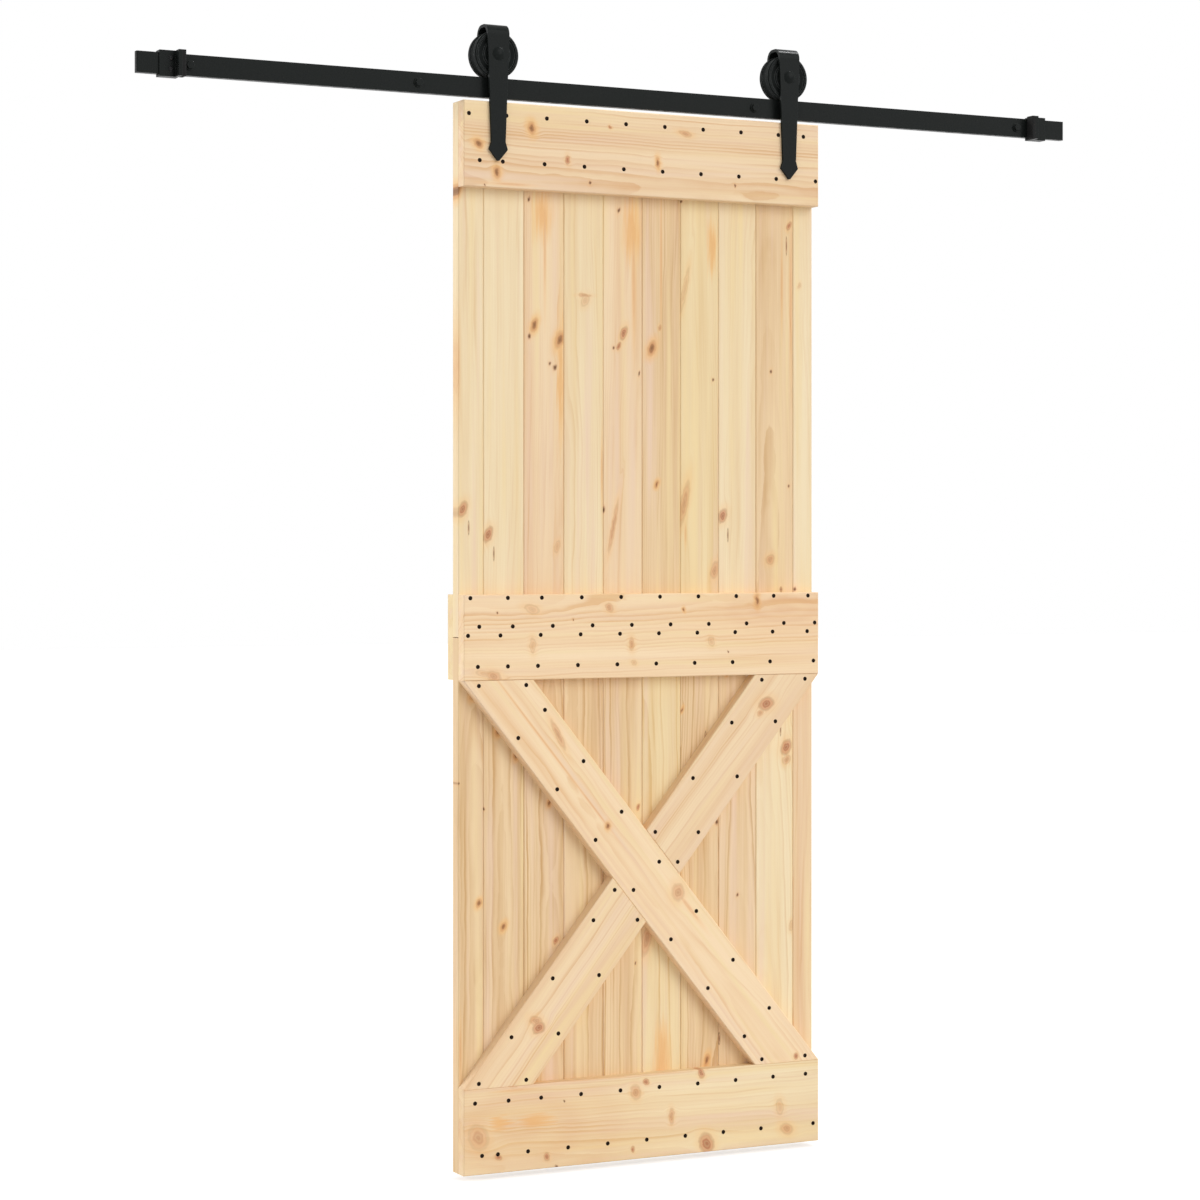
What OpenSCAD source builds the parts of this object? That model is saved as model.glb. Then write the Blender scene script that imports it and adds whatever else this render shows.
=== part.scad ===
// Sliding barn door on a wall track.
// A ledged plank leaf hangs from two folded arrow straps, and each strap carries a
// grooved wheel that rolls on a flat steel bar held off the wall by spacer tubes.
// X runs along the track to the right, Y into the wall, Z up, all in millimetres.
// The origin is the axis of the leftmost wall bolt, where the bolt meets the wall.

/* [Door leaf] */
// Width of the leaf
door_w = 800; // [700:10:1000]
// Height of the leaf
door_h = 2100; // [1900:10:2300]
// Distance from the track's left end to the leaf's left edge
door_at = 656; // [560:1:760]
// Gap between the underside of the track and the top of the leaf
door_gap = 8.6; // [5:0.1:15]

/* [Planks] */
// Thickness of the planks
plank_t = 26.5; // [20:0.5:30]
// Face width of a full plank, from seam to seam
plank_pitch = 87.6; // [80:0.1:110]
// Face width of the ripped plank at the left edge
first_plank_w = 53.5; // [40:0.5:80]
// Narrowest strip left over for the plank at the right edge
least_strip = 20; // [20:1:30]
// Open joint between two planks side by side
plank_gap = 0.4; // [0.2:0.1:1]
// Open joint between the upper and the lower tier of planks
tier_gap = 1.4; // [0.4:0.1:3]
// Depth of the V along a seam
vee = 1.5; // [1:0.1:3]
// Length of the tongue
tongue_l = 7; // [5:0.5:9]
// Thickness of the tongue
tongue_t = 8; // [6:0.5:9]
// Clearance round the tongue in its groove
tongue_fit = 0.3; // [0.2:0.1:0.5]

/* [Rails and braces] */
// Height of the three rails and of the back batten
rail_h = 168; // [140:1:180]
// Thickness of the rails and braces
rail_t = 26.5; // [20:0.5:30]
// Thickness of the batten behind the middle rail
batten_t = 26.5; // [20:0.5:30]
// Length of a brace's level end cut
brace_cut = 150; // [120:1:170]
// Planed-off corner along the front edges of the boards
ease = 1.5; // [1:0.1:3]
// Gap where one board butts against another
board_fit = 0.3; // [0.2:0.1:0.6]

/* [Nails] */
// Diameter of a nail's head
nail_head_d = 8.4; // [6:0.1:9]
// Thickness of a nail's head
nail_head_t = 1.6; // [1:0.1:2]
// Diameter of a nail's shank
nail_d = 3; // [2.4:0.1:4]
// Length of the nails in the rails and braces
nail_len = 45; // [42:1:46]
// Length of the nails that reach the back batten
long_nail_len = 70; // [64:1:72]
// Depth of a driven head below the wood
nail_sink = 0.2; // [0.1:0.1:0.5]
// Clearance round a nail in its hole
nail_fit = 0.1; // [0.05:0.05:0.2]

/* [Track] */
// Length of the bar
track_len = 2078; // [2000:1:2300]
// Height of the bar
track_h = 40; // [36:0.5:50]
// Thickness of the bar
track_t = 14; // [10:0.5:16]
// Bevel round the ends of the bar
track_bevel = 2; // [1:0.5:3]
// Distances of the first two wall bolts from the bar's left end
left_bolts_at = [103, 566];
// Distances of the last two wall bolts from the bar's right end
right_bolts_at = [766, 122];
// Length of a spacer tube, from the wall to the bar
spacer_len = 61.5; // [60:0.5:90]
// Outer diameter of a spacer tube
spacer_d = 19; // [16:0.5:24]
// Diameter of a wall bolt
bolt_d = 8; // [6:0.5:10]
// Diameter of a wall bolt's thread, where it enters the wall
thread_d = 7; // [5:0.5:9]
// Clearance round a wall bolt in the bar and the spacer
bolt_fit = 0.3; // [0.1:0.1:0.5]
// Length of a wall bolt inside the wall, with its point
bolt_reach = 32; // [20:1:60]
// Diameter of the flange under a wall bolt's head
bolt_flange_d = 19; // [16:0.5:22]
// Width across the flats of a wall bolt's head
bolt_hex = 13; // [11:0.5:15]
// Height of a wall bolt's head with its flange
bolt_head_h = 6.5; // [5:0.5:8]

/* [End stops] */
// Distance of the left stop from the bar's left end
left_stop_at = 43; // [20:1:50]
// Distance of the right stop from the bar's right end
right_stop_at = 50; // [20:1:60]
// Length of the sleeve that grips the bar
stop_sleeve_l = 31; // [28:0.5:40]
// Wall of the sleeve in front of and behind the bar
stop_wall = 3.5; // [3:0.1:5]
// Wall of the sleeve above and below the bar
stop_lip = 4.5; // [3:0.1:6]
// Thickness of the upright flange
stop_flange_t = 7; // [5:0.5:9]
// Reach of the flange in front of the bar
stop_reach = 23.5; // [20:0.5:30]
// Thickness of the rubber bumper
bumper_t = 8; // [5:0.5:12]
// Clearance of the sleeve on the bar
stop_fit = 0.2; // [0.1:0.1:0.3]
// Distance of the clamp screws from the sleeve's outer end
stop_screw_at = 22; // [16:0.5:23]
// Distance between the two clamp screws
stop_screw_pitch = 20; // [16:0.5:24]
// Diameter of a clamp screw
stop_screw_d = 6; // [5:0.5:8]
// Diameter of a clamp screw's button head
stop_screw_head_d = 10.5; // [9:0.5:13]
// Height of a clamp screw's button head
stop_screw_head_h = 3.3; // [2.5:0.1:4]

/* [Wheels] */
// Radius of the tread that runs on the bar
tread_r = 44.5; // [40:0.5:50]
// Depth of the groove, from flange rim to tread
groove_depth = 2.5; // [2:0.5:6]
// Side play of the bar in the groove
groove_play = 1; // [0.8:0.1:2]
// Width of the wheel
wheel_w = 38; // [26:0.5:40]
// Running gap between the tread and the bar
tread_gap = 0.3; // [0.2:0.1:0.5]
// Bevel on the wheel's rims
rim_bevel = 3; // [1:0.1:3]
// Depth of the dished web in the wheel's sides
web_depth = 2.5; // [1:0.5:4]
// Radius of the hub inside the dished web
hub_r = 27; // [24:0.5:30]
// Width of the raised rim outside the dished web
rim_w = 6; // [4:0.5:8]
// Outer diameter of the ball bearing
bearing_d = 32; // [28:1:36]
// Width of the ball bearing
bearing_w = 10; // [8:0.5:12]
// Clearance of the bearing in the wheel
bearing_fit = 0.05; // [0.02:0.01:0.1]

/* [Hangers] */
// Distance of a hanger's centre line from the leaf's edge
hanger_inset = 72; // [66:1:110]
// Thickness of the strap
strap_t = 6; // [5:0.5:8]
// Inside width of the folded strap
strap_gap = 41; // [33:0.5:46]
// Clearance of the fold above the wheel
fold_clear = 6.5; // [3.5:0.5:8]
// Inside radius of the two bends
bend_r = 15; // [5:0.5:16]
// Width of the strap at the fold
strap_top_w = 46.5; // [40:0.5:52]
// Width of the strap at the neck above the arrowhead
strap_neck_w = 30; // [26:0.5:36]
// Width across the barbs of the arrowhead
arrow_w = 39.5; // [36:0.5:46]
// Depth of the arrowhead's tip below the top of the leaf
arrow_tip_drop = 116; // [100:1:140]
// Height of the arrowhead from its tip to the barbs
arrow_h = 22; // [18:0.5:30]
// Height from the barbs up to the neck
barb_h = 15; // [10:0.5:20]
// Width of the blunted tip
arrow_tip_w = 3; // [2:0.5:5]
// Depth of the two studs below the top of the leaf
stud_drops = [32, 70];
// Diameter of the studs welded to the strap's back
stud_d = 8; // [6:0.5:10]
// Clearance of a stud in the wood
stud_fit = 0.4; // [0.2:0.1:0.6]
// Outer diameter of a stud's washer
stud_washer_d = 24; // [18:0.5:26]
// Thickness of a stud's washer
stud_washer_t = 2; // [1.5:0.1:2.5]
// Width across the flats of a stud's nut
stud_nut_hex = 13; // [11:0.5:15]
// Height of a stud's nut
stud_nut_h = 6.5; // [5:0.5:8]

/* [Axles] */
// Diameter of the axle bolt
axle_d = 12; // [10:0.5:14]
// Running clearance of the axle in the bearing
axle_run = 0.05; // [0.02:0.01:0.08]
// Clearance of the axle in the strap, the collars and the nut
axle_fit = 0.1; // [0.05:0.05:0.2]
// Diameter of the axle bolt's domed head
axle_head_d = 27; // [22:0.5:30]
// Height of the axle bolt's domed head
axle_head_h = 4.5; // [3:0.5:6]
// Width across the flats of the axle nut
axle_nut_hex = 19; // [17:0.5:22]
// Height of the axle nut
axle_nut_h = 9; // [7:0.5:11]
// Outer diameter of the collars beside the bearing
collar_d = 18; // [16:0.5:20]
// Side play between a collar and the bearing
collar_play = 0.3; // [0.2:0.05:0.5]
// Length of bolt or stud that shows past its nut
thread_proud = 2; // [1:0.5:4]

/* [Hidden] */
$fn = 64;
slack = 1;
pine = [0.93, 0.82, 0.65];
pine_rail = [0.91, 0.79, 0.61];
black_steel = [0.15, 0.16, 0.16];
black_zinc = [0.10, 0.10, 0.11];
bearing_steel = [0.62, 0.63, 0.65];
rubber = [0.06, 0.06, 0.06];
nail_black = [0.12, 0.07, 0.04];

// Track: its bolts along it, its left end, its faces and its top edge
bolt_at = concat(left_bolts_at, [for (inset = right_bolts_at) track_len - inset]);
track_x = -bolt_at[0];
track_back = -spacer_len;
track_front = track_back - track_t;
track_mid = track_back - track_t / 2;
track_top = track_h / 2;

// Leaf: its edges and the planes of its boards, from front to back
leaf_x = track_x + door_at;
leaf_top = -track_h / 2 - door_gap;
leaf_bottom = leaf_top - door_h;
rail_front = track_mid - strap_gap / 2;
panel_front = rail_front + rail_t;
panel_back = panel_front + plank_t;
batten_back = panel_back + batten_t;
rail_z = [leaf_top - rail_h, leaf_bottom + (door_h - rail_h) / 2, leaf_bottom];
tier_z = leaf_bottom + door_h / 2;

// Planks: a ripped one at each edge and full ones between
full_planks = floor((door_w - first_plank_w - least_strip) / plank_pitch);
seams = [for (k = [0 : full_planks]) first_plank_w + k * plank_pitch];
plank_left = concat([0], seams);
plank_right = concat(seams, [door_w]);
plank_last = full_planks + 1;
tongue_front = (plank_t - tongue_t) / 2;

// Braces: the field between the two lower rails, and the sideways run per drop
field_top = rail_z[1] - board_fit;
field_bottom = rail_z[2] + rail_h + board_fit;
field_h = field_top - field_bottom;
brace_run = (door_w - brace_cut) / field_h;

// Rows of nails in a rail: height above its lower edge, distances of the first two nails from
// the leaf's left edge and of the last from its right edge, and place of the others past a seam
top_rows = [[rail_h - 26, 11, 91.5, 36, 38], [51.5, 34, 83.5, 7, 33]];
middle_rows = [
    [rail_h - 6.5, 14, 94.5, 25, 27], [rail_h / 2 + 21.5, 33, 105, 9, 51],
    [rail_h / 2 + 4, 9, 78.5, 27, 24.5], [27, 30, 94.5, 12, 18.5]
];
bottom_rows = [[rail_h - 27.5, 24, 96, 31, 25.5], [37, 39, 73, 13, -3]];

// Nails along a brace: inset from its long edge measured level, end nails and spacing
brace_nail_inset = 24;
brace_end_nail = 10;
main_nail_start = 60;
main_nail_count = 8;
half_nail_start = 96;
half_nail_pitch = 110;

// Hangers: axle height, fold and arrowhead
flange_r = tread_r + groove_depth;
axle_z = track_top + tread_gap + tread_r;
fold_top = axle_z + flange_r + fold_clear + strap_t;
strap_front = rail_front - strap_t;
strap_back = rail_front + strap_gap;
strap_outer = strap_back + strap_t;
arrow_tip = leaf_top - arrow_tip_drop;
hanger_x = [leaf_x + hanger_inset, leaf_x + door_w - hanger_inset];

// Stops: length with the bumper, and the inner face of each bumper
stop_len = stop_sleeve_l + stop_flange_t + bumper_t;
stop_front = track_front - stop_reach;
left_stop_x = track_x + left_stop_at;
right_stop_x = track_x + track_len - right_stop_at;

// Nail places as [x, z], x from the leaf's left edge

function row_nails(row, rail) = [
    for (x = concat(
        [row[1], row[2]], [for (k = [1 : full_planks - 1]) seams[k] + row[4]], [door_w - row[3]]
    ))
        [x, rail_z[rail] + row[0]]
];
function rail_nails(rows, rail) = [for (row = rows) each row_nails(row, rail)];

// A drop below the field's top, taken to a place on a line that leans right or left
function on_lean(x, drop, lean) = [x + lean * drop * brace_run, field_top - drop];
function turned(p) = [door_w - p[0], field_top + field_bottom - p[1]];

main_nail_pitch = (field_h - main_nail_start - brace_end_nail) / (main_nail_count - 1);
main_drops = concat(
    [brace_end_nail],
    [for (k = [0 : main_nail_count - 1]) main_nail_start + k * main_nail_pitch]
);
main_nails = [
    for (drop = main_drops)
        each let (p = on_lean(brace_cut - brace_nail_inset, drop, 1)) [p, turned(p)]
];

// A row on a half brace ends where it meets the main brace
function half_end(x) = (x - brace_cut) / 2 / brace_run - brace_end_nail;
function half_drops(x) = concat(
    [brace_end_nail],
    [for (drop = [half_nail_start : half_nail_pitch : half_end(x) - half_nail_pitch / 3]) drop],
    [half_end(x)]
);
half_rows = [door_w - brace_cut + brace_nail_inset, door_w - brace_nail_inset];
upper_nails = [for (x = half_rows) for (drop = half_drops(x)) on_lean(x, drop, -1)];
lower_nails = [for (p = upper_nails) turned(p)];

top_nails = rail_nails(top_rows, 0);
middle_nails = rail_nails(middle_rows, 1);
bottom_nails = rail_nails(bottom_rows, 2);
brace_nail_places = concat(main_nails, upper_nails, lower_nails);

// Shapes that several pieces share

// Rod along +Y from a point
module rod(d, length) {
    rotate([-90, 0, 0]) cylinder(d = d, h = length);
}

// Hexagonal prism along +Y, given across its flats
module hex_rod(flats, length) {
    rotate([-90, 0, 0]) cylinder(d = flats / cos(30), h = length, $fn = 6);
}

module nail(length) {
    translate([0, nail_sink, 0]) rod(nail_head_d, nail_head_t);
    translate([0, nail_sink, 0]) rod(nail_d, length);
}

// Hole that a nail's head and shank fill, open at the front
module nail_hole(length) {
    head_depth = nail_sink + nail_head_t + nail_fit;
    translate([0, -slack, 0]) rod(nail_head_d + 2 * nail_fit, slack + head_depth);
    rod(nail_d + 2 * nail_fit, length + nail_sink + nail_fit);
}

module nails(places, length) {
    for (p = places) translate([leaf_x + p[0], rail_front, p[1]]) nail(length);
}

// Nail holes whose axis runs within the given stretch of the leaf
module nail_holes(places, length, x_low, x_high, z_low, z_high) {
    for (p = places) {
        beside = p[0] < x_low - nail_d || p[0] > x_high + nail_d;
        above_or_below = p[1] < z_low - nail_d || p[1] > z_high + nail_d;
        if (!beside && !above_or_below)
            translate([leaf_x + p[0], rail_front, p[1]]) nail_hole(length);
    }
}

module stud_holes() {
    for (x = hanger_x, drop = stud_drops)
        translate([x, rail_front - slack, leaf_top - drop])
            rod(stud_d + 2 * stud_fit, rail_t + plank_t + 2 * slack);
}

// Prism that planes off an edge along +X; it stands on the edge itself
module edge_cut(length) {
    side = ease * sqrt(2);
    rotate([45, 0, 0]) translate([0, -side / 2, -side / 2]) cube([length, side, side]);
}

// Board across the leaf with its front or back edges eased
module cross_board(y, thickness, z, eased_y) {
    difference() {
        translate([leaf_x, y, z]) cube([door_w, thickness, rail_h]);
        for (edge_z = [z, z + rail_h])
            translate([leaf_x - slack, eased_y, edge_z]) edge_cut(door_w + 2 * slack);
        for (edge_x = [leaf_x, leaf_x + door_w])
            translate([edge_x, eased_y, z - slack]) rotate([0, -90, 0]) edge_cut(rail_h + 2 * slack);
    }
}

// Planks

function plank_left_edge(x, jointed) = jointed
    ? [[x, plank_t], [x, tongue_front + tongue_t + tongue_fit],
       [x + tongue_l + tongue_fit, tongue_front + tongue_t + tongue_fit],
       [x + tongue_l + tongue_fit, tongue_front - tongue_fit],
       [x, tongue_front - tongue_fit], [x, vee], [x + vee, 0]]
    : [[x, plank_t], [x, ease], [x + ease, 0]];
function plank_right_edge(x, jointed) = jointed
    ? [[x - vee, 0], [x, vee], [x, tongue_front], [x + tongue_l - plank_gap, tongue_front],
       [x + tongue_l - plank_gap, tongue_front + tongue_t], [x, tongue_front + tongue_t], [x, plank_t]]
    : [[x - ease, 0], [x, ease], [x, plank_t]];

// Tongued and grooved plank number k, standing between two heights
module plank(k, z_low, z_high) {
    left = plank_left[k] + (k > 0 ? plank_gap / 2 : 0);
    right = plank_right[k] - (k < plank_last ? plank_gap / 2 : 0);
    color(pine)
        difference() {
            translate([leaf_x, panel_front, z_low])
                linear_extrude(z_high - z_low)
                    polygon(concat(plank_left_edge(left, k > 0), plank_right_edge(right, k < plank_last)));
            nail_holes(top_nails, nail_len, left, right + tongue_l, z_low, z_high);
            nail_holes(middle_nails, long_nail_len, left, right + tongue_l, z_low, z_high);
            nail_holes(bottom_nails, nail_len, left, right + tongue_l, z_low, z_high);
            nail_holes(brace_nail_places, nail_len, left, right + tongue_l, z_low, z_high);
            stud_holes();
        }
}

module upper_plank(k) {
    plank(k, tier_z + tier_gap / 2, leaf_top);
}

module lower_plank(k) {
    plank(k, leaf_bottom, tier_z - tier_gap / 2);
}

// Rails, batten and braces

module top_rail() {
    color(pine_rail)
        difference() {
            cross_board(rail_front, rail_t, rail_z[0], rail_front);
            nails_cut(top_nails, nail_len);
            stud_holes();
        }
}

module middle_rail() {
    color(pine_rail)
        difference() {
            cross_board(rail_front, rail_t, rail_z[1], rail_front);
            nails_cut(middle_nails, long_nail_len);
        }
}

module bottom_rail() {
    color(pine_rail)
        difference() {
            cross_board(rail_front, rail_t, rail_z[2], rail_front);
            nails_cut(bottom_nails, nail_len);
        }
}

module back_batten() {
    color(pine_rail)
        difference() {
            cross_board(panel_back, batten_t, rail_z[1], batten_back);
            nails_cut(middle_nails, long_nail_len);
        }
}

module nails_cut(places, length) {
    for (p = places) translate([leaf_x + p[0], rail_front, p[1]]) nail_hole(length);
}

// Flat board cut to an outline in the leaf's plane, at the depth of the rails
module field_board(outline) {
    translate([leaf_x, rail_front + rail_t, 0]) rotate([90, 0, 0])
        linear_extrude(rail_t) polygon(outline);
}

// Eases the front edge along a line that leans right or left from a place on the field's top
module lean_cut(x, lean) {
    length = norm([field_h * brace_run, field_h]);
    angle = atan2(1, lean * brace_run);
    translate([leaf_x + x, rail_front, field_top])
        rotate([0, angle, 0])
            translate([-slack, 0, 0]) edge_cut(length + 2 * slack);
}

module brace_main() {
    color(pine_rail)
        difference() {
            field_board([
                [0, field_top], [brace_cut, field_top],
                [door_w, field_bottom], [door_w - brace_cut, field_bottom]
            ]);
            for (x = [0, brace_cut]) lean_cut(x, 1);
            nails_cut(main_nails, nail_len);
        }
}

// Upper half of the crossing brace, cut to butt against the main brace
half_inner = (door_w - 2 * brace_cut - board_fit) / 2;
half_outer = (door_w - brace_cut - board_fit) / 2;
half_outline = [
    [door_w - brace_cut, field_top], [door_w, field_top],
    [door_w - half_outer, field_top - half_outer / brace_run],
    [door_w - brace_cut - half_inner, field_top - half_inner / brace_run]
];

module brace_upper() {
    color(pine_rail)
        difference() {
            field_board(half_outline);
            for (x = [door_w - brace_cut, door_w]) lean_cut(x, -1);
            lean_cut(brace_cut + board_fit, 1);
            nails_cut(upper_nails, nail_len);
        }
}

module brace_lower() {
    color(pine_rail)
        difference() {
            field_board([for (p = half_outline) turned(p)]);
            for (x = [door_w - brace_cut, door_w]) lean_cut(x, -1);
            lean_cut(-board_fit, 1);
            nails_cut(lower_nails, nail_len);
        }
}

// Nails, all those of one board in one group

module top_rail_nails() {
    color(nail_black) nails(top_nails, nail_len);
}

module middle_rail_nails() {
    color(nail_black) nails(middle_nails, long_nail_len);
}

module bottom_rail_nails() {
    color(nail_black) nails(bottom_nails, nail_len);
}

module brace_nails() {
    color(nail_black) nails(brace_nail_places, nail_len);
}

// Hangers

// Block along X with its two upper edges rounded
module arch_block(width, y_low, y_high, z_low, z_high, r) {
    translate([-width / 2, y_low, z_low]) cube([width, y_high - y_low, z_high - r - z_low]);
    translate([-width / 2, y_low + r, z_low]) cube([width, y_high - y_low - 2 * r, z_high - z_low]);
    for (y = [y_low + r, y_high - r])
        translate([-width / 2, y, z_high - r]) rotate([0, 90, 0]) cylinder(r = r, h = width);
}

// Bar of even thickness folded over the wheel, before it is cut to its outline
module folded_bar() {
    difference() {
        arch_block(strap_top_w, strap_front, strap_outer, arrow_tip, fold_top, bend_r + strap_t);
        arch_block(
            strap_top_w + 2 * slack, rail_front, strap_back,
            arrow_tip - slack, fold_top - strap_t, bend_r
        );
    }
}

// Front outline: an arrowhead, a neck and a shaft that widens up to the fold
module front_outline() {
    neck_z = arrow_tip + arrow_h + barb_h;
    bend_z = fold_top - bend_r - strap_t;
    right = [
        [arrow_tip_w / 2, arrow_tip], [arrow_w / 2, arrow_tip + arrow_h], [strap_neck_w / 2, neck_z],
        [strap_top_w / 2, bend_z], [strap_top_w / 2, fold_top]
    ];
    left = [for (k = [len(right) - 1 : -1 : 0]) [-right[k][0], right[k][1]]];
    translate([0, track_mid, 0]) rotate([90, 0, 0])
        linear_extrude(track_mid - strap_front + slack) polygon(concat(right, left));
}

// Back outline: a tab with a round end below the axle
module back_outline() {
    translate([0, track_mid, axle_z]) rod(strap_top_w, strap_outer - track_mid + slack);
    translate([-strap_top_w / 2, track_mid, axle_z])
        cube([strap_top_w, strap_outer - track_mid + slack, fold_top - axle_z]);
}

module hanger(x) {
    stud_len = rail_t + plank_t + stud_washer_t + stud_nut_h + thread_proud;
    color(black_steel)
        translate([x, 0, 0]) {
            difference() {
                union() {
                    intersection() {
                        folded_bar();
                        front_outline();
                    }
                    intersection() {
                        folded_bar();
                        back_outline();
                    }
                }
                translate([0, strap_front - slack, axle_z])
                    rod(axle_d + 2 * axle_fit, strap_outer - strap_front + 2 * slack);
            }
            for (drop = stud_drops)
                translate([0, rail_front - strap_t / 2, leaf_top - drop])
                    rod(stud_d, strap_t / 2 + stud_len);
        }
}

module hanger_washers() {
    color(black_zinc)
        for (x = hanger_x, drop = stud_drops)
            translate([x, panel_back, leaf_top - drop])
                difference() {
                    rod(stud_washer_d, stud_washer_t);
                    translate([0, -slack, 0]) rod(stud_d + 2 * stud_fit, stud_washer_t + 2 * slack);
                }
}

module hanger_nuts() {
    color(black_zinc)
        for (x = hanger_x, drop = stud_drops)
            translate([x, panel_back + stud_washer_t, leaf_top - drop])
                difference() {
                    hex_rod(stud_nut_hex, stud_nut_h);
                    translate([0, -slack, 0]) rod(stud_d + 2 * axle_fit, stud_nut_h + 2 * slack);
                }
}

// Axles

// Bolt with a low domed head in front of the strap and its shank through to the nut
module axle_bolt(x) {
    shank = strap_outer - strap_front + axle_nut_h + thread_proud;
    dome_r = (pow(axle_head_d / 2, 2) + pow(axle_head_h, 2)) / (2 * axle_head_h);
    color(black_steel)
        translate([x, strap_front, axle_z]) {
            intersection() {
                translate([0, dome_r - axle_head_h, 0]) rotate([90, 0, 0]) sphere(r = dome_r);
                translate([0, -axle_head_h - slack, 0]) rod(axle_head_d + 2 * slack, axle_head_h + slack);
            }
            rod(axle_d, shank);
        }
}

module axle_nuts() {
    color(black_zinc)
        for (x = hanger_x)
            translate([x, strap_outer, axle_z])
                difference() {
                    hex_rod(axle_nut_hex, axle_nut_h);
                    translate([0, -slack, 0]) rod(axle_d + 2 * axle_fit, axle_nut_h + 2 * slack);
                }
}

// Collars that keep the wheel in the middle of the fold
module axle_collars() {
    length = (strap_gap - bearing_w) / 2 - collar_play;
    color(black_zinc)
        for (x = hanger_x, y = [rail_front, strap_back - length])
            translate([x, y, axle_z])
                difference() {
                    rod(collar_d, length);
                    translate([0, -slack, 0]) rod(axle_d + 2 * axle_fit, length + 2 * slack);
                }
}

// Wheels

// Half section of the wheel, radius against width, with the bearing's seat open to the front
module wheel_section() {
    half = wheel_w / 2;
    groove = track_t / 2 + groove_play;
    seat_r = bearing_d / 2 + bearing_fit;
    shoulder_r = (collar_d + bearing_d) / 4;
    web_r = flange_r - rim_w;
    seat_end = bearing_w / 2;
    polygon([
        [seat_r, half], [hub_r, half], [hub_r + web_depth, half - web_depth],
        [web_r - web_depth, half - web_depth], [web_r, half],
        [flange_r - rim_bevel, half], [flange_r, half - rim_bevel],
        [flange_r, groove + groove_depth / 2], [tread_r, groove],
        [tread_r, -groove], [flange_r, -groove - groove_depth / 2],
        [flange_r, -half + rim_bevel], [flange_r - rim_bevel, -half],
        [web_r, -half], [web_r - web_depth, -half + web_depth],
        [hub_r + web_depth, -half + web_depth], [hub_r, -half],
        [shoulder_r, -half], [shoulder_r, -seat_end], [seat_r, -seat_end]
    ]);
}

module wheel(x) {
    color(black_steel)
        translate([x, track_mid, axle_z]) rotate([90, 0, 0]) rotate_extrude() wheel_section();
}

// Sealed ball bearing: two rings with the shields set back between them
module bearing(x) {
    half = bearing_w / 2;
    shield = 0.8;
    bore_r = axle_d / 2 + axle_run;
    outer_r = bearing_d / 2;
    ring = (outer_r - bore_r) / 4;
    color(bearing_steel)
        translate([x, track_mid, axle_z]) rotate([90, 0, 0])
            rotate_extrude()
                polygon([
                    [bore_r, -half], [bore_r + ring, -half], [bore_r + ring, -half + shield],
                    [outer_r - ring, -half + shield], [outer_r - ring, -half], [outer_r, -half],
                    [outer_r, half], [outer_r - ring, half], [outer_r - ring, half - shield],
                    [bore_r + ring, half - shield], [bore_r + ring, half], [bore_r, half]
                ]);
}

// Track and wall fixings

module track_bar() {
    b = track_bevel;
    color(black_steel)
        difference() {
            translate([track_x, 0, -track_h / 2])
                linear_extrude(track_h)
                    polygon([
                        [0, track_back - b], [b, track_back],
                        [track_len - b, track_back], [track_len, track_back - b],
                        [track_len, track_front + b], [track_len - b, track_front],
                        [b, track_front], [0, track_front + b]
                    ]);
            for (along = bolt_at)
                translate([track_x + along, track_front - slack, 0])
                    rod(bolt_d + 2 * bolt_fit, track_t + 2 * slack);
        }
}

module wall_spacers() {
    chamfer = 1;
    bore_r = bolt_d / 2 + bolt_fit;
    r = spacer_d / 2;
    color(black_steel)
        for (along = bolt_at)
            translate([track_x + along, 0, 0]) rotate([90, 0, 0])
                rotate_extrude()
                    polygon([
                        [bore_r, 0], [r - chamfer, 0], [r, chamfer],
                        [r, spacer_len - chamfer], [r - chamfer, spacer_len], [bore_r, spacer_len]
                    ]);
}

// Wall screw with a flanged hexagon head in front of the bar and its point in the wall
module wall_bolts() {
    flange_h = bolt_head_h / 3;
    shank = track_t + spacer_len;
    point_d = 1;
    thread = bolt_reach - thread_d;
    color(black_zinc)
        for (along = bolt_at)
            translate([track_x + along, track_front, 0]) {
                translate([0, -flange_h, 0]) rod(bolt_flange_d, flange_h);
                translate([0, -bolt_head_h, 0]) hex_rod(bolt_hex, bolt_head_h);
                rod(bolt_d, shank);
                translate([0, shank, 0]) rod(thread_d, thread);
                translate([0, shank + thread, 0])
                    rotate([-90, 0, 0]) cylinder(d1 = thread_d, d2 = point_d, h = thread_d);
            }
}

// End stops

// Stop whose outer end is at x = 0 and whose bumper faces +X
module stop_body() {
    height = track_h + 2 * stop_lip;
    sleeve_front = track_front - stop_wall;
    hole_d = stop_screw_d + 2 * stop_fit;
    difference() {
        union() {
            translate([0, sleeve_front, -height / 2])
                cube([stop_sleeve_l + stop_flange_t, track_t + 2 * stop_wall, height]);
            translate([stop_sleeve_l, stop_front, -height / 2])
                cube([stop_flange_t, sleeve_front - stop_front + slack, height]);
        }
        translate([-slack, track_front - stop_fit, -track_h / 2 - stop_fit])
            cube([
                stop_sleeve_l + stop_flange_t + 2 * slack,
                track_t + 2 * stop_fit, track_h + 2 * stop_fit
            ]);
        for (side = [-1, 1])
            translate([stop_screw_at, sleeve_front - slack, side * stop_screw_pitch / 2])
                rod(hole_d, stop_wall + slack);
    }
}

module left_stop() {
    color(black_steel) translate([left_stop_x, 0, 0]) stop_body();
}

module right_stop() {
    color(black_steel) translate([right_stop_x, 0, 0]) mirror([1, 0, 0]) stop_body();
}

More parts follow.
